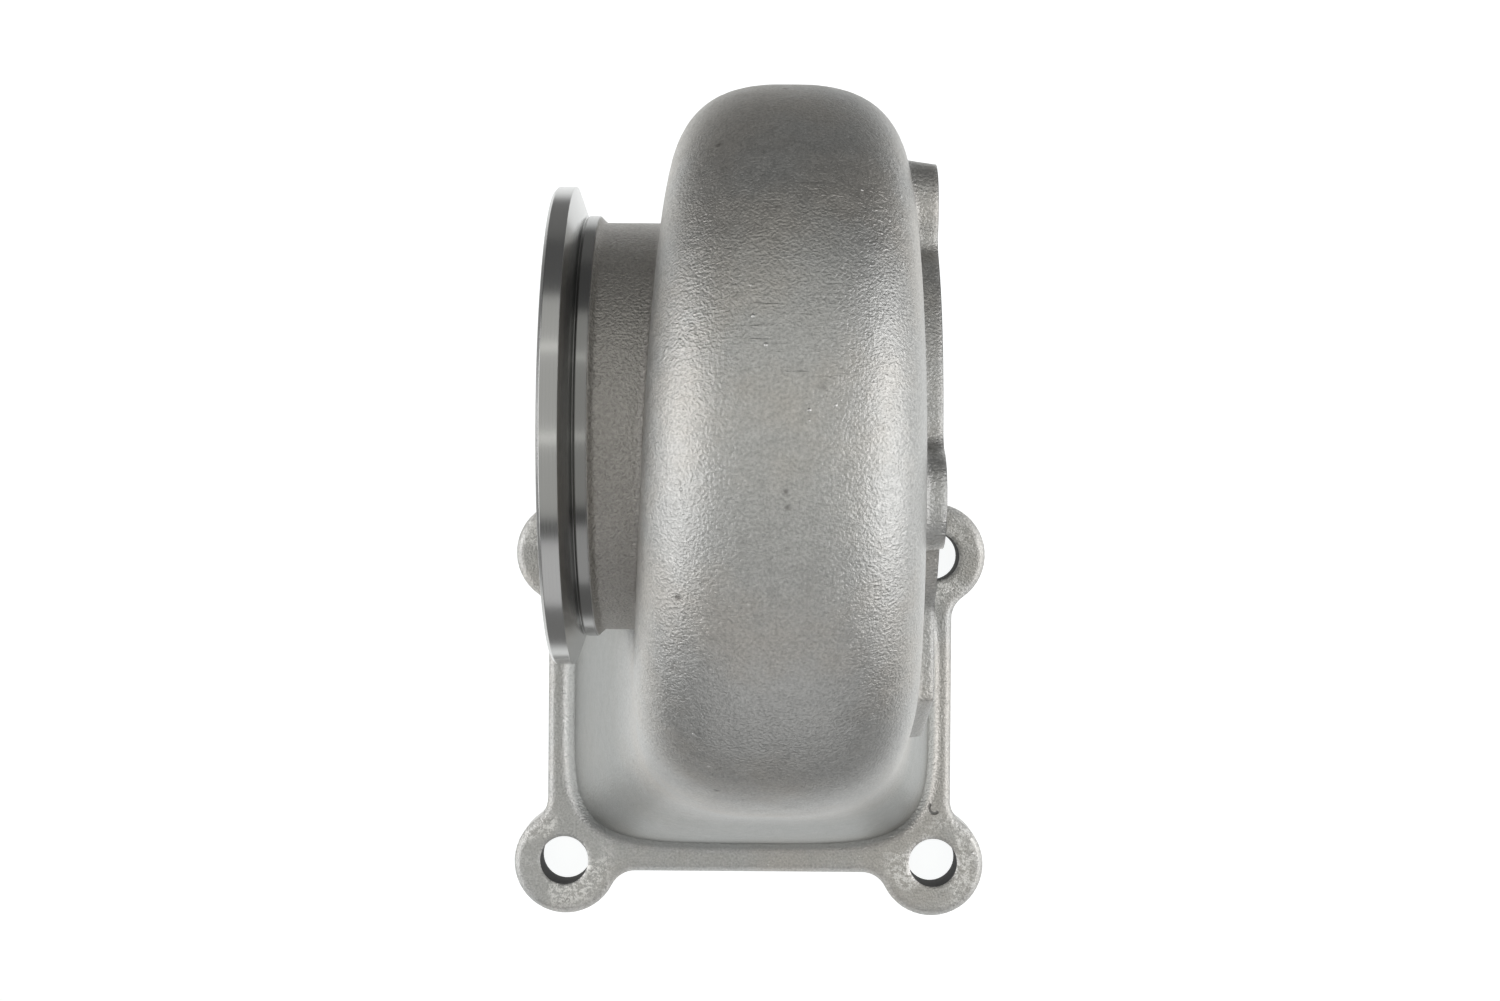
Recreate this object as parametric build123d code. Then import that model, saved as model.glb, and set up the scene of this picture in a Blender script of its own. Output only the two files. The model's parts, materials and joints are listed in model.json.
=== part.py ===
"""Turbine housing of a turbocharger with a divided inlet, one investment casting in stainless steel.

The inlet foot lies on z = 0 with its bolt pattern centred on the origin. The duct rises from it and
winds round the turbine axis, which is parallel to X. The outlet ring faces -X and the bearing side
faces +X. All lengths are in millimetres and all angles in degrees.
"""
from build123d import *
from math import copysign, cos, hypot, radians, sin
import os

# Turbine axis, seen from the inlet's centre
AXIS_Y = 61.9
AXIS_Z = 84.6

# Inlet foot
HOLE_PITCH_X = 84.1
HOLE_PITCH_Y = 69.85
HOLE_R = 5.5
LUG_R = 11.75
LUG_PITCH_X = 83.4
LUG_PITCH_Y = 70.6
LUG_BLEND_R = 6.0
FOOT_LENGTH = 91.8
FOOT_WIDTH = 74.6
FOOT_THICKNESS = 9.5
FOOT_EDGE = 1.1

# Duct where it stands on the foot, inside the foot's edges
DUCT_INSET_X = 4.3
DUCT_INSET_Y = 4.8
DUCT_LENGTH = FOOT_LENGTH - 2 * DUCT_INSET_X
DUCT_WIDTH = FOOT_WIDTH - 2 * DUCT_INSET_Y
DUCT_SQUARENESS = 4.6
DUCT_EVENNESS = 0.6
DUCT_SEAM = 2.2

# Outlet bore and the neck round it
OUTLET_R = 36.0
OUTLET_DEPTH = 6.0
OUTLET_CHAMFER = 0.8
NECK_WALL = 3.2
NECK_R = OUTLET_R + NECK_WALL
NECK_SEAM = 2.2

# Scroll, from where the duct turns into it to its tail
SCROLL_R_START = 75.5
SCROLL_R_END = 52.7
SCROLL_END_ANGLE = 345.0
SCROLL_TAPER = 1.15
SCROLL_ROOT_R = OUTLET_R
SCROLL_LEFT_START = -22.4
SCROLL_LEFT_END = -7.4
SCROLL_RIGHT_START = 30.8
SCROLL_RIGHT_END = 26.9
SCROLL_ARCH = 22.0
SCROLL_ARCH_SHARE = 0.75
SCROLL_CROWN_SHIFT = -0.1
SCROLL_SQUARENESS = 2.7
ROOT_SQUARENESS = 5.0

# Gas passages inside the duct and scroll
WALL = 4.8
BEARING_SIDE_WALL = 7.0
DIVIDER = 3.6
DIVIDER_TIP = 2.4
PORT_WALL_X = 5.6
PORT_WALL_Y = 6.5
PORT_LENGTH = DUCT_LENGTH - 2 * PORT_WALL_X
PORT_WIDTH = DUCT_WIDTH - 2 * PORT_WALL_Y
PORT_SQUARENESS = 6.0
PASSAGE_SQUARENESS = 2.4
NOZZLE_R = 42.8
PASSAGE_OVERLAP = 2.3
PASSAGE_ROOT_R = NOZZLE_R - PASSAGE_OVERLAP
PASSAGE_END_ANGLE = 335.0
PASSAGE_END_HEIGHT = 5.0
PASSAGE_SHOULDER = 0.6

# Turbine wheel space and nozzle slot
NOZZLE_LEFT = 8.0
NOZZLE_RIGHT = 19.6
WHEEL_R = 34.6
THROAT_R = 31.2
THROAT_START = -2.0
THROAT_END = -9.0
SHROUD_STEPS = 5

# Bearing side
BEARING_FACE = 33.4
BEARING_BORE_R = 38.0
BEARING_BORE_DEPTH = 7.0
SHIELD_LEDGE = 2.0
SHIELD_SEAT_R = BEARING_BORE_R - SHIELD_LEDGE
BEARING_FLANGE_WALL = 4.4
BEARING_FLANGE_R = BEARING_BORE_R + BEARING_FLANGE_WALL
BORE_CHAMFER = 0.6
BOSS_R = 8.7
BOSS_OFFSET = 2.2
BOSS_CIRCLE_R = BEARING_FLANGE_R + BOSS_OFFSET
BOSS_ANGLES = (28.0, 107.5, 208.0, 287.5)
BOSS_BLEND_R = 4.0
FLANGE_ROOT = 24.0
FLANGE_DRAFT = 8.0
TAPPED_R = 3.4
TAPPED_DEPTH = 9.5
PAD_TOP = 26.0
PAD_TOP_REACH = 50.0
PAD_BOTTOM = -30.0
PAD_REACH = 59.5

# Clamp ring
RING_FACE = -37.6
RING_R = 46.0
RING_LAND = 3.8
RING_SLOPE = 2.1
RING_CHAMFER = 0.6
LIP_HEIGHT = 1.3
LIP_R = NECK_R + LIP_HEIGHT
LIP_WIDTH = 2.4
LIP_STEP = 0.5

# Points in a closed section, how square the curve is that spaces them, and sections along the way
SECTION_POINTS = 24
SPACING_SQUARENESS = 3.2
PASSAGE_SIDES = 10
SCROLL_STEPS = 12
DUCT_STEPS = 4

# How close a corner has to be to an outline to lie on it
NEAR = 0.01


def power(value, exponent):
    """Signed power, for superellipse sections."""
    return copysign(abs(value) ** exponent, value)


def blend(start, end, share):
    return start + (end - start) * share


def smooth(share):
    """Ease from 0 to 1, level at both ends."""
    share = min(max(share, 0.0), 1.0)
    return share * share * (3 - 2 * share)


def on_station(along, height, angle=0.0, z=0.0):
    """A point of the scroll's section at an angle, or of the duct's at a height z under the axis."""
    return Vector(along, -height * cos(radians(angle)), z + height * sin(radians(angle)))


def duct_ease(share):
    """How far the duct has turned from the foot's shape into the scroll's at a share of its height."""
    return blend(smooth(share), share, DUCT_EVENNESS)


def duct_shares():
    return [i / DUCT_STEPS for i in range(DUCT_STEPS)]


def superellipse(count, squareness, root_squareness):
    """Unit section as pairs across and up, from its root round to its root."""
    for i in range(count):
        turn = radians(-90 + 360 * i / count)
        n = squareness if sin(turn) >= 0 else root_squareness
        yield power(cos(turn), 2 / n), power(sin(turn), 2 / n)


def smooth_face(points):
    """Face in a smooth closed curve. Its points have the same shares of the way round in every
    section, so that the lofted surfaces have few spans."""
    around = [Vector(*p) for p in superellipse(SECTION_POINTS, SPACING_SQUARENESS, SPACING_SQUARENESS)]
    shares = [0.0]
    for start, end in zip(around, around[1:] + around[:1]):
        shares.append(shares[-1] + (end - start).length)
    shares = [share / shares[-1] for share in shares]
    return make_face(Edge.make_spline(points, periodic=True, parameters=shares))


def outer_section(left, right, root, top, arch, squareness, root_squareness, shift, angle=0.0, z=0.0):
    """Arch at the outside and a squarer root at the inside."""
    points = []
    for across, up in superellipse(SECTION_POINTS, squareness, root_squareness):
        height = top - arch + up * (arch if up > 0 else top - arch - root)
        centre = (left + right) / 2 + shift * max(up, 0)
        points.append(on_station(centre + across * (right - left) / 2, height, angle, z))
    return smooth_face(points)


def loft_in_halves(sections, ruled=False):
    """The tail runs back into the duct, so it is a loft of its own that starts half way round."""
    half_way = DUCT_STEPS + SCROLL_STEPS // 2
    return loft(sections[:half_way + 1], ruled=ruled), loft(sections[half_way:], ruled=ruled)


def taper(angle, end_angle):
    return (angle / end_angle) ** SCROLL_TAPER


def duct_section(share):
    """Outside of the duct at a share of the height from the foot to the axis."""
    ease = duct_ease(share)
    return outer_section(
        left=blend(-DUCT_LENGTH / 2, SCROLL_LEFT_START, ease),
        right=blend(DUCT_LENGTH / 2, SCROLL_RIGHT_START, ease),
        root=blend(AXIS_Y - DUCT_WIDTH / 2, SCROLL_ROOT_R, ease),
        top=blend(AXIS_Y + DUCT_WIDTH / 2, SCROLL_R_START, ease),
        arch=blend(DUCT_WIDTH / 2, SCROLL_ARCH, ease),
        squareness=blend(DUCT_SQUARENESS, SCROLL_SQUARENESS, ease),
        root_squareness=blend(DUCT_SQUARENESS, ROOT_SQUARENESS, ease),
        shift=SCROLL_CROWN_SHIFT * ease,
        z=(share - 1) * AXIS_Z,
    )


def duct_and_scroll():
    """Outside of the duct with the scroll's first half, and of the scroll's tail."""
    sections = [duct_section(share) for share in duct_shares()]
    for i in range(SCROLL_STEPS + 1):
        angle = SCROLL_END_ANGLE * i / SCROLL_STEPS
        share = angle / SCROLL_END_ANGLE
        radius = blend(SCROLL_R_START, SCROLL_R_END, taper(angle, SCROLL_END_ANGLE))
        sections.append(outer_section(
            left=blend(SCROLL_LEFT_START, SCROLL_LEFT_END, share),
            right=blend(SCROLL_RIGHT_START, SCROLL_RIGHT_END, share),
            root=SCROLL_ROOT_R,
            top=radius,
            arch=min(SCROLL_ARCH, (radius - SCROLL_ROOT_R) * SCROLL_ARCH_SHARE),
            squareness=SCROLL_SQUARENESS,
            root_squareness=ROOT_SQUARENESS,
            shift=SCROLL_CROWN_SHIFT,
            angle=angle,
        ))
    return loft_in_halves(sections)


def passage_section(side, left, right, root, top, squareness, lean, angle=0.0, z=0.0):
    """One half of the divided passage, with flat sides. Its root leans over to the nozzle slot."""
    nozzle_middle = (NOZZLE_LEFT + NOZZLE_RIGHT) / 2
    middle = (left + right) / 2
    if side < 0:
        wide = (left, middle - DIVIDER / 2)
        narrow = (NOZZLE_LEFT, nozzle_middle - DIVIDER_TIP / 2)
    else:
        wide = (middle + DIVIDER / 2, right)
        narrow = (nozzle_middle + DIVIDER_TIP / 2, NOZZLE_RIGHT)
    points = []
    for across, up in superellipse(PASSAGE_SIDES, squareness, squareness):
        open_share = blend(1.0, smooth((1 + up) / 2 / PASSAGE_SHOULDER), lean)
        near, far = (blend(n, w, open_share) for n, w in zip(narrow, wide))
        height = blend(root, top, (1 + up) / 2)
        points.append(on_station(blend(near, far, (1 + across) / 2), height, angle, z))
    return make_face(Polyline(*points, close=True))


def passage(side):
    """Gas passage from its port in the foot to the scroll's tail."""
    left_start = SCROLL_LEFT_START + WALL
    right_start = SCROLL_RIGHT_START - BEARING_SIDE_WALL
    top_start = SCROLL_R_START - WALL
    top_end = PASSAGE_ROOT_R + PASSAGE_END_HEIGHT
    sections = []
    for share in duct_shares():
        ease = duct_ease(share)
        sections.append(passage_section(
            side,
            left=blend(-PORT_LENGTH / 2, left_start, ease),
            right=blend(PORT_LENGTH / 2, right_start, ease),
            root=blend(AXIS_Y - PORT_WIDTH / 2, PASSAGE_ROOT_R, ease),
            top=blend(AXIS_Y + PORT_WIDTH / 2, top_start, ease),
            squareness=blend(PORT_SQUARENESS, PASSAGE_SQUARENESS, ease),
            lean=smooth(ease),
            z=(share - 1) * AXIS_Z,
        ))
    for i in range(SCROLL_STEPS + 1):
        angle = PASSAGE_END_ANGLE * i / SCROLL_STEPS
        share = angle / PASSAGE_END_ANGLE
        sections.append(passage_section(
            side,
            left=blend(left_start, SCROLL_LEFT_END + WALL, share),
            right=blend(right_start, SCROLL_RIGHT_END - BEARING_SIDE_WALL, share),
            root=PASSAGE_ROOT_R,
            top=blend(top_start, top_end, taper(angle, PASSAGE_END_ANGLE)),
            squareness=PASSAGE_SQUARENESS,
            lean=1.0,
            angle=angle,
        ))
    return loft_in_halves(sections, ruled=True)


def turned(outline):
    """Solid of revolution about the X axis from points along it and out from it."""
    face = make_face(Polyline(*outline, close=True))
    return revolve(face, Axis.X)


def neck():
    """Outlet neck with its clamp ring, turned about the axis and run on through the scroll."""
    ring_back = RING_FACE + RING_LAND
    cone_end = ring_back + RING_SLOPE
    lip_end = cone_end + LIP_WIDTH
    return turned([
        (RING_FACE, 0),
        (RING_FACE, RING_R - RING_CHAMFER),
        (RING_FACE + RING_CHAMFER, RING_R),
        (ring_back, RING_R),
        (cone_end, LIP_R - LIP_STEP),
        (cone_end + LIP_STEP, LIP_R),
        (lip_end, LIP_R),
        (lip_end + LIP_R - NECK_R, NECK_R),
        (BEARING_FACE, NECK_R),
        (BEARING_FACE, 0),
    ])


def wheel_space():
    """Everything turned out of the inside, from the bearing bore to the outlet's mouth."""
    bore_end = BEARING_FACE - BEARING_BORE_DEPTH
    outline = [
        (RING_FACE, 0),
        (RING_FACE, OUTLET_R + OUTLET_CHAMFER),
        (RING_FACE + OUTLET_CHAMFER, OUTLET_R),
        (RING_FACE + OUTLET_DEPTH, OUTLET_R),
        (THROAT_END, THROAT_R),
        (THROAT_START, THROAT_R),
    ]
    for i in range(1, SHROUD_STEPS + 1):
        turn = radians(90 * i / SHROUD_STEPS)
        outline.append((
            THROAT_START + (NOZZLE_LEFT - THROAT_START) * sin(turn),
            WHEEL_R - (WHEEL_R - THROAT_R) * cos(turn),
        ))
    outline += [
        (NOZZLE_LEFT, NOZZLE_R),
        (NOZZLE_RIGHT, NOZZLE_R),
        (NOZZLE_RIGHT, SHIELD_SEAT_R),
        (bore_end, SHIELD_SEAT_R),
        (bore_end, BEARING_BORE_R),
        (BEARING_FACE - BORE_CHAMFER, BEARING_BORE_R),
        (BEARING_FACE, BEARING_BORE_R + BORE_CHAMFER),
        (BEARING_FACE, 0),
    ]
    return turned(outline)


def on_boss(angle):
    """Place on the bolt circle in the plane across the axis, turned to face outwards."""
    return Rot(0, 0, angle) * Pos(BOSS_CIRCLE_R, 0)


def across_axis(x):
    return Plane.YZ.offset(x)


def pad():
    """Flat topped land beside the bearing flange, above the duct."""
    return make_face(Polyline(
        (-BEARING_BORE_R / 2, PAD_TOP),
        (-PAD_TOP_REACH, PAD_TOP),
        (-PAD_REACH, 0),
        (-PAD_REACH, PAD_BOTTOM),
        (-BEARING_BORE_R / 2, PAD_BOTTOM),
        close=True,
    ))


def bearing_flange():
    """Round flange with a boss for each bolt and the pad, wider towards the scroll."""
    outline = Rot(0, 0, BOSS_ANGLES[0]) * Circle(BEARING_FLANGE_R)
    for angle in BOSS_ANGLES:
        outline += on_boss(angle) * Rot(0, 0, 180) * Circle(BOSS_R)
    outline += pad()
    inner = [v for v in outline.vertices() if abs(hypot(v.X, v.Y) - BEARING_FLANGE_R) < NEAR]
    outline = fillet(inner, BOSS_BLEND_R)
    return extrude(across_axis(BEARING_FACE) * outline, FLANGE_ROOT - BEARING_FACE, taper=-FLANGE_DRAFT)


def tapped_holes():
    circles = [on_boss(angle) * Circle(TAPPED_R) for angle in BOSS_ANGLES]
    return extrude(across_axis(BEARING_FACE) * (Sketch() + circles), -TAPPED_DEPTH)


def foot():
    """Four bolt lugs joined by a plate, with its upper edge taken off."""
    lugs = [Pos(x, y) * Circle(LUG_R) for x, y in corners(LUG_PITCH_X, LUG_PITCH_Y)]
    plate = Sketch() + Rectangle(FOOT_LENGTH, FOOT_WIDTH) + lugs
    inner = [
        v for v in plate.vertices()
        if abs(abs(v.X) - FOOT_LENGTH / 2) < NEAR or abs(abs(v.Y) - FOOT_WIDTH / 2) < NEAR
    ]
    plate = fillet(inner, LUG_BLEND_R)
    solid = extrude(plate, FOOT_THICKNESS)
    return chamfer(solid.faces().sort_by(Axis.Z)[-1].edges(), FOOT_EDGE)


def corners(pitch_x, pitch_y):
    for x in (-pitch_x / 2, pitch_x / 2):
        for y in (-pitch_y / 2, pitch_y / 2):
            yield x, y


def joined(first, second, size, right_end):
    """Union with a chamfer along the seam, up to a place along the axis."""
    union = first + second
    seam = [e for e in new_edges(first, second, combined=union) if e.center().X < right_end]
    return chamfer(seam, size)


def housing():
    to_axis = Pos(0, AXIS_Y, AXIS_Z)
    outside = joined(Part() + [*duct_and_scroll()], neck(), NECK_SEAM, 0)
    outside += bearing_flange()
    body = joined(foot(), to_axis * outside, DUCT_SEAM, BEARING_FACE)
    inside = [*passage(-1), *passage(1), wheel_space(), tapped_holes()]
    body -= [to_axis * space for space in inside]
    holes = [Pos(x, y) * Circle(HOLE_R) for x, y in corners(HOLE_PITCH_X, HOLE_PITCH_Y)]
    return body - extrude(Sketch() + holes, FOOT_THICKNESS)


os.makedirs("parts", exist_ok=True)
body = housing()
export_step(body, "parts/turbine_housing.step")
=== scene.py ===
"""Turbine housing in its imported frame, in blasted cast and turned stainless steel, under soft studio light.

Everything is in metres, in the row frame: the foot stands on z = 0 and the turbine axis is parallel to X.
"""
import json
import math
from types import SimpleNamespace

import bpy
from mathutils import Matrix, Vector

MM = 0.001

# Camera, fitted to the photograph's lug circles, outlet ring and bearing flange
PHOTO_WIDTH = 1500
PHOTO_HEIGHT = 1001
FOCAL_PX = 2200.0
PRINCIPAL_Y_PX = 490.0
CAMERA_PLACE = (-0.0003, 0.0498, 0.5111)
CAMERA_ROLL_DEG = 0.43
SENSOR_MM = 36.0
CLIP_START = 0.01

# The floor is a light table. It glows most left and right of the housing, and fades out all round.
FLOOR_SIZE = 3.0
FLOOR_GAP = 0.0002
FLOOR_COLOUR = (0.30, 0.30, 0.30, 1)
FLOOR_ROUGHNESS = 0.9
GLOW_COLOUR = (0.985, 1, 1, 1)
GLOW_MIDDLE = 0.92
GLOW_SIDES = 1.10
GLOW_HALF_LENGTH = 0.32
GLOW_HALF_WIDTH = 0.119

# Soft boxes: name, place, width and height, radiance, colour, what it points at
WARM = (1.0, 1.0, 0.955)
WHITE = (1.0, 1.0, 1.0)
LIGHTS = (
    ("overhead_back", (0.0, 0.96, 1.15), (1.5, 2.05), 0.55, WARM, (0.0, 0.96, 0.0)),
    ("overhead_front", (0.0, -0.53, 1.15), (1.5, 0.93), 0.49, WARM, (0.0, -0.53, 0.0)),
    ("strip_back", (0.0, 0.78, 1.12), (1.5, 0.06), 1.3, WARM, (0.0, 0.78, 0.0)),
    ("strip_front", (0.0, -0.065, 1.12), (1.5, 0.06), 1.0, WARM, (0.0, -0.065, 0.0)),
    ("left", (-1.0, 0.0, 0.48), (1.4, 0.9), 1.95, WHITE, (0.0, 0.0, 0.2)),
    ("right", (1.0, 0.0, 0.48), (1.4, 0.9), 2.15, WHITE, (0.0, 0.0, 0.2)),
    ("front", (0.0, -1.1, 0.40), (1.2, 0.9), 0.70, WHITE, (0.0, 0.0, 0.2)),
)
WORLD_COLOUR = (0.14, 0.14, 0.14, 1)

# Fades, each from the value where a mask is 0 to the value where it is 1. Radii are from the turbine axis,
# except round the lugs' holes.
GLOW_REACH = (1.5, 1.0)
SIDES_OUT = (0.13, 0.26)
RING_BEHIND_OUTLET = (0.0086, 0.0083)
LIP_BEHIND_OUTLET = (0.0056, 0.0058)
RING_INNER_R = (0.0390, 0.0393)
RING_OUTER_R = (0.0475, 0.0470)
MOUTH_X = (-0.0265, -0.0275)
MOUTH_R = (0.0385, 0.0380)
BEARING_X = (-0.0095, -0.0085)
BEARING_R = (0.0388, 0.0383)
FACE_BEFORE_BEARING = (-0.0001, -0.00002)
FACE_R = (0.0625, 0.0620)
NECK_R = (0.0425, 0.0410)
NECK_X = (-0.008, -0.012)
UNDERSIDE_Z = (0.00008, 0.00001)
BEYOND_HOLE_R = (0.0002, 0.0001)
HOLE_Z = (0.0094, 0.0093)
SCUFFED_HOLE_R = (0.013, 0.008)
SCUFFED_Z = (0.0098, 0.0096)
# Band low on the housing, just above the foot, that gets painted shade
LOW_SHADE_TOP_Z = (0.084, 0.050)
LOW_SHADE_FOOT_Z = (0.0098, 0.0108)

# Noises: features per metre, detail and roughness. The streaks' place is stretched first.
LEATHER = (2000.0, 2.5, 0.55)
PEEL = (640.0, 2.0, 0.5)
SWELL = (110.0, 2.0, 0.5)
PATCHES = (45.0, 1.0, 0.5)
STREAKS = (1.0, 1.0, 0.5)
STREAKS_ALONG = 150.0
STREAKS_ACROSS = 950.0
WORN = (90.0, 1.0, 0.5)
SCUFFS = (1100.0, 4.0, 0.8)
STAIN = (38.0, 4.0, 0.6)
MOTTLE = (400.0, 3.0, 0.6)
LATHE = (5200.0, 2.0, 0.7)
MILL = (3800.0, 2.0, 0.7)
MILL_STRETCH = 0.03

# What part of a noise counts
PATCH_CUT = (0.53, 0.63)
STREAK_CUT = (0.58, 0.76)
WORN_CUT = (0.42, 0.55)
SCUFF_CUT = (0.48, 0.54)
WARM_CUT = (0.40, 0.65)

# Pits and beads: cells per metre, which of the cells have one, and its edge as a share of a cell
PITS = (170.0, (0.90, 0.905), (0.16, 0.04))
BEADS = (430.0, (0.76, 0.765), (0.17, 0.05))

# Small curved dent in the foot, seen in the photograph: an arc, open towards +X and +Y
DENT_PLACE = (0.0423, -0.0224)
DENT_R = 0.0012
DENT_LINE = (0.0004, 0.0001)
DENT_SIDE = (0.0002, -0.0002)
DENT_Z = (0.0140, 0.0130)

# Heights in millimetres
LEATHER_HEIGHT = 0.20
PEEL_HEIGHT = 0.05
SWELL_HEIGHT = 0.22
PIT_HEIGHT = -0.10
STREAK_HEIGHT = 0.07
BEAD_HEIGHT = 0.16
DENT_HEIGHT = -0.25
TOOL_HEIGHT = 0.006
NECK_RELIEF = 1.5

# Radius that the shading rounds edges to
CAST_EDGE = 0.0018
MACHINED_EDGE = 0.0003
EDGE_SAMPLES = 8

# Colours, how much the patterns lighten or darken them, and layers on the cast skin as share and colour
CAST_GREY = (0.48, 0.48, 0.47, 1)
CAST_WARM = (0.48, 0.465, 0.44, 1)
NECK_COLOUR = (0.385, 0.37, 0.35, 1)
MACHINED_COLOUR = (0.45, 0.45, 0.445, 1)
LIP_COLOUR = (0.27, 0.27, 0.265, 1)
# Painted shade: inside the lugs' holes the casting is near black and not metallic, in place of the shade that
# falls there
HOLE_PAINTED_SHADE = (0.05, 0.049, 0.047, 1)
STAIN_SHADE = 0.12
MOTTLE_SHADE = 0.18
# The next one darkens the skin where its leather relief is low: painted shade in the fine valleys, on top of
# the skin's own uneven tone
LEATHER_PAINTED_SHADE = 0.95
TOOL_SHADE = 0.16
PIT_LAYER = (0.6, (0.12, 0.11, 0.10, 1))
# Beads are also lightened: a painted glint in place of the highlights their bumps catch
BEAD_GLINT_LAYER = (0.6, (0.85, 0.85, 0.84, 1))
SCUFF_LAYER = (0.8, (0.90, 0.89, 0.87, 1))
# Painted shade: darker and slightly greener low on the housing, just above the foot
LOW_PAINTED_SHADE_LAYER = (0.68, (0.247, 0.256, 0.249, 1))
DENT_LAYER = (0.7, (0.10, 0.10, 0.095, 1))

CAST_ROUGHNESS = 0.42
MOTTLE_ROUGHNESS = 0.25
MACHINED_ROUGHNESS = 0.14
TOOL_ROUGHNESS = 0.10
HOLE_ROUGHNESS = 0.85


class Nodes:
    """Short calls that add nodes to a material and link them."""

    def __init__(self, material):
        material.use_nodes = True
        self.tree = material.node_tree
        self.tree.nodes.clear()

    def add(self, kind, inputs=None, **settings):
        node = self.tree.nodes.new("ShaderNode" + kind)
        for name, value in settings.items():
            setattr(node, name, value)
        for key, value in (inputs or {}).items():
            self.feed(node.inputs[key], value)
        return node

    def feed(self, socket, value):
        if isinstance(value, bpy.types.NodeSocket):
            self.tree.links.new(value, socket)
        else:
            socket.default_value = value

    def math(self, operation, a, b=0.0):
        return self.add("Math", {0: a, 1: b}, operation=operation).outputs[0]

    def less(self, a, b):
        return self.math("SUBTRACT", a, b)

    def total(self, *terms):
        result = terms[0]
        for term in terms[1:]:
            result = self.math("ADD", result, term)
        return result

    def both(self, *masks):
        product = masks[0]
        for mask in masks[1:]:
            product = self.math("MULTIPLY", product, mask)
        return product

    def either(self, *masks):
        most = masks[0]
        for mask in masks[1:]:
            most = self.math("MAXIMUM", most, mask)
        return most

    def distance(self, a, b):
        return self.math("SQRT", self.total(self.both(a, a), self.both(b, b)))

    def around(self, pattern, amount):
        """A pattern from 0 to 1, spread evenly below and above 0."""
        return self.both(self.less(pattern, 0.5), amount)

    def step(self, value, fade, start=0.0):
        """Mask that goes from 0 to 1 over the fade, which counts from start."""
        node = self.add("MapRange", {0: value, 1: start + fade[0], 2: start + fade[1], 3: 0.0, 4: 1.0},
                        interpolation_type="SMOOTHSTEP")
        return node.outputs[0]

    def noise(self, place, pattern):
        scale, detail, roughness = pattern
        node = self.add("TexNoise", {"Vector": place, "Scale": scale, "Detail": detail,
                                     "Roughness": roughness})
        return node.outputs["Fac"]

    def spots(self, place, pattern):
        """Round spots in some of the cells of a Voronoi pattern."""
        scale, chosen, edge = pattern
        cells = self.add("TexVoronoi", {"Vector": place, "Scale": scale})
        draw = self.add("SeparateColor", {0: cells.outputs["Color"]}).outputs[0]
        return self.both(self.step(draw, chosen), self.step(cells.outputs["Distance"], edge))

    def tone(self, colour, value):
        return self.add("HueSaturation", {"Color": colour, "Value": value}).outputs[0]

    def mix_colour(self, share, a, b):
        node = self.add("Mix", data_type="RGBA")
        self.feed(node.inputs["Factor"], share)
        self.feed(node.inputs["A"], a)
        self.feed(node.inputs["B"], b)
        return node.outputs["Result"]

    def mix(self, share, a, b):
        node = self.add("Mix", data_type="FLOAT")
        self.feed(node.inputs["Factor"], share)
        self.feed(node.inputs["A"], a)
        self.feed(node.inputs["B"], b)
        return node.outputs["Result"]


def find_areas(n, place, mounts):
    """Coordinates, and masks of the areas that look different."""
    x, y, z = n.add("SeparateXYZ", {0: place}).outputs
    outlet_x = mounts["outlet_face"]["pos_m"][0]
    bearing_x = mounts["bearing_face"]["pos_m"][0]
    axis_y, axis_z = mounts["outlet_rim"]["pos_m"][1:]
    radius = n.distance(n.less(y, axis_y), n.less(z, axis_z))

    # Turned: the clamp ring with its lip, the outlet's mouth and the bearing bore and face
    ring = n.both(n.step(x, RING_BEHIND_OUTLET, outlet_x), n.step(radius, RING_INNER_R),
                  n.step(radius, RING_OUTER_R))
    lip = n.both(ring, n.step(x, LIP_BEHIND_OUTLET, outlet_x))
    mouth = n.both(n.step(x, MOUTH_X), n.step(radius, MOUTH_R))
    bearing = n.both(n.step(x, BEARING_X), n.step(radius, BEARING_R))
    face = n.both(n.step(x, FACE_BEFORE_BEARING, bearing_x), n.step(radius, FACE_R))

    # The foot's milled underside, and the drilled holes in its lugs
    underside = n.step(z, UNDERSIDE_Z)
    bolts = mounts["inlet_bolts"]["dims"]
    hole_x = n.less(n.math("ABSOLUTE", x), bolts["spacing_x_mm"] * MM / 2)
    hole_y = n.less(n.math("ABSOLUTE", y), bolts["spacing_y_mm"] * MM / 2)
    from_hole = n.distance(hole_x, hole_y)
    hole = n.both(n.step(from_hole, BEYOND_HOLE_R, bolts["hole_r_mm"] * MM), n.step(z, HOLE_Z))

    machined = n.either(ring, mouth, bearing, face, underside, hole)
    neck = n.both(n.step(radius, NECK_R), n.step(x, NECK_X))
    return SimpleNamespace(
        x=x, y=y, z=z, radius=radius, lip=lip, underside=underside, hole=hole, machined=machined,
        cast=n.less(1.0, machined), neck=neck, off_neck=n.less(1.0, neck),
        scuffed=n.both(n.step(from_hole, SCUFFED_HOLE_R), n.step(z, SCUFFED_Z)),
        # band low on the housing that gets painted shade
        low_painted_shade=n.both(n.step(z, LOW_SHADE_TOP_Z), n.step(z, LOW_SHADE_FOOT_Z)),
    )


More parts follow.
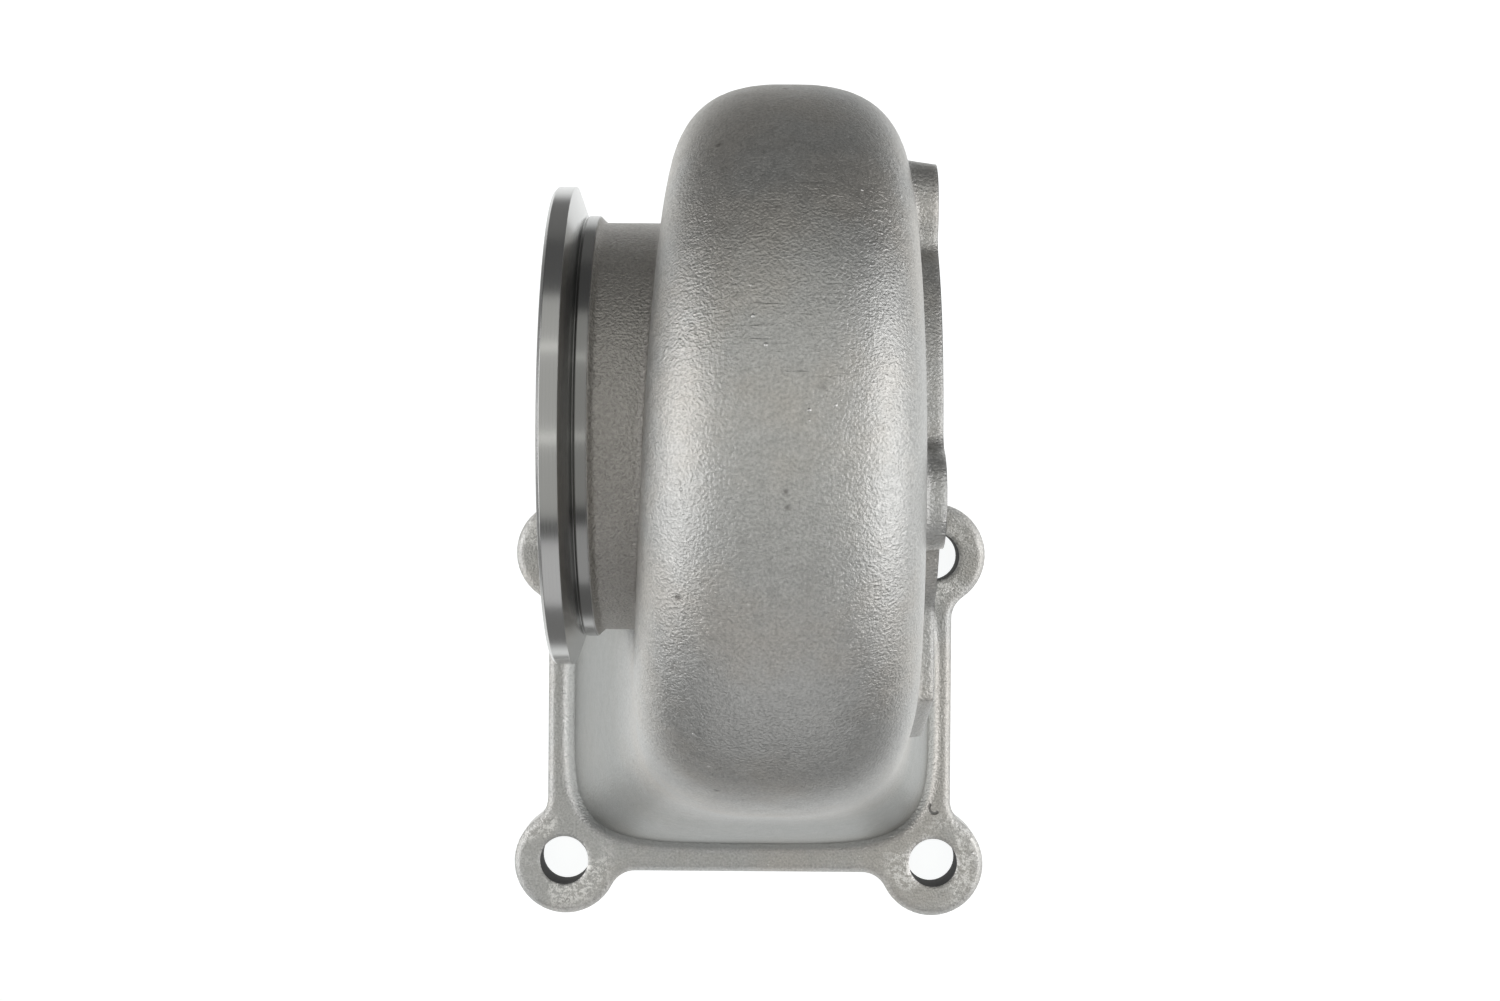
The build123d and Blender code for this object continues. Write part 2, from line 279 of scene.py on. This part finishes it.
def find_marks(n, place, area):
    """Patterns from 0 to 1: the blasted skin with its flaws, wear and stains, and the marks of the tools."""
    patch = n.step(n.noise(place, PATCHES), PATCH_CUT)
    streak_place = n.add("CombineXYZ", {
        0: n.both(area.x, STREAKS_ALONG),
        1: n.both(area.y, STREAKS_ACROSS),
        2: n.both(area.z, STREAKS_ACROSS),
    }).outputs[0]
    streak = n.both(area.off_neck, patch, n.step(n.noise(streak_place, STREAKS), STREAK_CUT))
    bead = n.both(area.off_neck, patch, n.spots(place, BEADS))

    dent_x = n.less(area.x, DENT_PLACE[0])
    dent_y = n.less(area.y, DENT_PLACE[1])
    off_arc = n.math("ABSOLUTE", n.less(n.distance(dent_x, dent_y), DENT_R))
    dent = n.both(n.step(off_arc, DENT_LINE), n.step(n.total(dent_x, dent_y), DENT_SIDE),
                  n.step(area.z, DENT_Z))

    scuff = n.both(area.scuffed, n.step(n.noise(place, WORN), WORN_CUT),
                   n.step(n.noise(place, SCUFFS), SCUFF_CUT))

    # Turning marks go round the axis, and milling marks across the foot
    turning_place = n.add("CombineXYZ", {0: area.x, 1: area.radius}).outputs[0]
    milling_place = n.add("CombineXYZ", {0: area.x, 1: n.both(area.y, MILL_STRETCH)}).outputs[0]
    return SimpleNamespace(
        leather=n.noise(place, LEATHER), peel=n.noise(place, PEEL), swell=n.noise(place, SWELL),
        pit=n.spots(place, PITS), streak=streak, bead=bead, dent=dent, scuff=scuff,
        stain=n.noise(place, STAIN), mottle=n.noise(place, MOTTLE),
        tool=n.mix(area.underside, n.noise(turning_place, LATHE), n.noise(milling_place, MILL)),
    )


def relief(n, area, mark):
    """Height of the surface in millimetres."""
    skin = n.total(
        n.both(mark.leather, LEATHER_HEIGHT),
        n.both(mark.peel, PEEL_HEIGHT),
        n.both(mark.swell, SWELL_HEIGHT),
        n.both(mark.pit, PIT_HEIGHT),
        n.both(mark.streak, STREAK_HEIGHT),
        n.both(mark.bead, BEAD_HEIGHT),
        n.both(mark.dent, DENT_HEIGHT),
    )
    return n.total(n.both(skin, area.cast, n.mix(area.neck, 1.0, NECK_RELIEF)),
                   n.both(mark.tool, area.machined, TOOL_HEIGHT))


def cast_colour(n, area, mark):
    # The leather term darkens the skin's fine valleys as painted shade; the stain and mottle terms are the
    # skin's own uneven tone
    shade = n.total(1.0, n.around(mark.stain, STAIN_SHADE), n.around(mark.mottle, MOTTLE_SHADE),
                    n.around(mark.leather, LEATHER_PAINTED_SHADE))
    colour = n.mix_colour(n.step(mark.stain, WARM_CUT), CAST_GREY, CAST_WARM)
    colour = n.tone(n.mix_colour(area.neck, colour, NECK_COLOUR), shade)
    layers = (
        (mark.pit, PIT_LAYER),
        # painted glint on the beads
        (mark.bead, BEAD_GLINT_LAYER),
        (mark.scuff, SCUFF_LAYER),
        # painted shade low on the housing
        (area.low_painted_shade, LOW_PAINTED_SHADE_LAYER),
        (mark.dent, DENT_LAYER),
    )
    for mask, (share, layer_colour) in layers:
        colour = n.mix_colour(n.both(mask, share), colour, layer_colour)
    return colour


def machined_colour(n, area, mark):
    colour = n.tone(MACHINED_COLOUR, n.total(1.0, n.around(mark.tool, TOOL_SHADE)))
    return n.mix_colour(area.lip, colour, LIP_COLOUR)


def stainless(mounts):
    """One material for the casting: blasted skin, turned and milled areas, and painted shade inside the holes
    in the lugs.
    """
    material = bpy.data.materials.new("cast_stainless")
    n = Nodes(material)
    place = n.add("TexCoord").outputs["Object"]
    area = find_areas(n, place, mounts)
    mark = find_marks(n, place, area)

    edges = n.add("Bevel", {"Radius": n.mix(area.machined, CAST_EDGE, MACHINED_EDGE)}, samples=EDGE_SAMPLES)
    bump = n.add("Bump", {
        "Strength": 1.0,
        "Distance": MM,
        "Height": relief(n, area, mark),
        "Normal": edges.outputs["Normal"],
    })

    colour = n.mix_colour(area.machined, cast_colour(n, area, mark), machined_colour(n, area, mark))
    # Painted shade inside the lugs' holes: near black here, and not metallic below
    colour = n.mix_colour(area.hole, colour, HOLE_PAINTED_SHADE)

    cast_rough = n.total(CAST_ROUGHNESS, n.around(mark.mottle, MOTTLE_ROUGHNESS))
    machined_rough = n.total(MACHINED_ROUGHNESS, n.both(mark.tool, TOOL_ROUGHNESS))
    rough = n.mix(area.machined, cast_rough, machined_rough)

    surface = n.add("BsdfPrincipled", {
        "Base Color": colour,
        "Metallic": n.less(1.0, area.hole),
        "Roughness": n.mix(area.hole, rough, HOLE_ROUGHNESS),
        "Normal": bump.outputs[0],
    })
    n.add("OutputMaterial", {"Surface": surface.outputs[0]})
    return material


def floor():
    """Plain pale floor under the foot, as a light table."""
    half = FLOOR_SIZE / 2
    corners = [(-half, -half, 0), (half, -half, 0), (half, half, 0), (-half, half, 0)]
    mesh = bpy.data.meshes.new("floor")
    mesh.from_pydata(corners, [], [(0, 1, 2, 3)])
    slab = bpy.data.objects.new("floor", mesh)
    slab.location = (0, CAMERA_PLACE[1], -FLOOR_GAP)
    bpy.context.scene.collection.objects.link(slab)

    material = bpy.data.materials.new("floor")
    n = Nodes(material)
    x, y, _ = n.add("SeparateXYZ", {0: n.add("TexCoord").outputs["Object"]}).outputs
    away = n.distance(n.math("DIVIDE", x, GLOW_HALF_LENGTH), n.math("DIVIDE", y, GLOW_HALF_WIDTH))
    level = n.mix(n.step(n.math("ABSOLUTE", x), SIDES_OUT), GLOW_MIDDLE, GLOW_SIDES)
    surface = n.add("BsdfPrincipled", {
        "Base Color": FLOOR_COLOUR,
        "Roughness": FLOOR_ROUGHNESS,
        "Emission Color": GLOW_COLOUR,
        "Emission Strength": n.both(n.step(away, GLOW_REACH), level),
    })
    n.add("OutputMaterial", {"Surface": surface.outputs[0]})
    mesh.materials.append(material)


def lights():
    """Soft boxes overhead, at both sides and in front, in a dim room."""
    for name, place, size, radiance, colour, target in LIGHTS:
        data = bpy.data.lights.new(name, "AREA")
        data.shape = "RECTANGLE"
        data.size, data.size_y = size
        data.energy = radiance * math.pi * size[0] * size[1]
        data.color = colour
        light = bpy.data.objects.new(name, data)
        light.location = place
        aim = Vector(target) - Vector(place)
        light.rotation_euler = aim.to_track_quat("-Z", "Y").to_euler()
        bpy.context.scene.collection.objects.link(light)
    world = bpy.data.worlds.new("studio")
    world.use_nodes = True
    world.node_tree.nodes["Background"].inputs[0].default_value = WORLD_COLOUR
    bpy.context.scene.world = world


def camera():
    """Looks straight down at the housing, as the photograph does."""
    data = bpy.data.cameras.new("camera")
    data.sensor_width = SENSOR_MM
    data.lens = SENSOR_MM * FOCAL_PX / PHOTO_WIDTH
    data.shift_y = (PRINCIPAL_Y_PX - PHOTO_HEIGHT / 2) / PHOTO_WIDTH
    data.clip_start = CLIP_START
    cam = bpy.data.objects.new("camera", data)
    cam.location = CAMERA_PLACE
    cam.rotation_euler = (0, 0, math.radians(CAMERA_ROLL_DEG))
    bpy.context.scene.collection.objects.link(cam)
    bpy.context.scene.camera = cam


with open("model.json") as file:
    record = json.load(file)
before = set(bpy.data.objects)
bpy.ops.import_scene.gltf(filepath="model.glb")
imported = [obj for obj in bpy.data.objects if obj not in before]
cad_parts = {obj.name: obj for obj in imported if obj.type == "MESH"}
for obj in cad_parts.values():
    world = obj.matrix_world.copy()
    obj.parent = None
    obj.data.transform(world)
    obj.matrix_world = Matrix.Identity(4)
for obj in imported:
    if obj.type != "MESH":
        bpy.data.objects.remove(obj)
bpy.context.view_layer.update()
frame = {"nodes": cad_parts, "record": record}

housing = frame["nodes"]["turbine_housing"]
mounts = {m["name"]: m for m in frame["record"]["mounts"]}
housing.data.materials.clear()
housing.data.materials.append(stainless(mounts))

floor()
lights()
camera()
bpy.context.scene.view_settings.view_transform = "Standard"
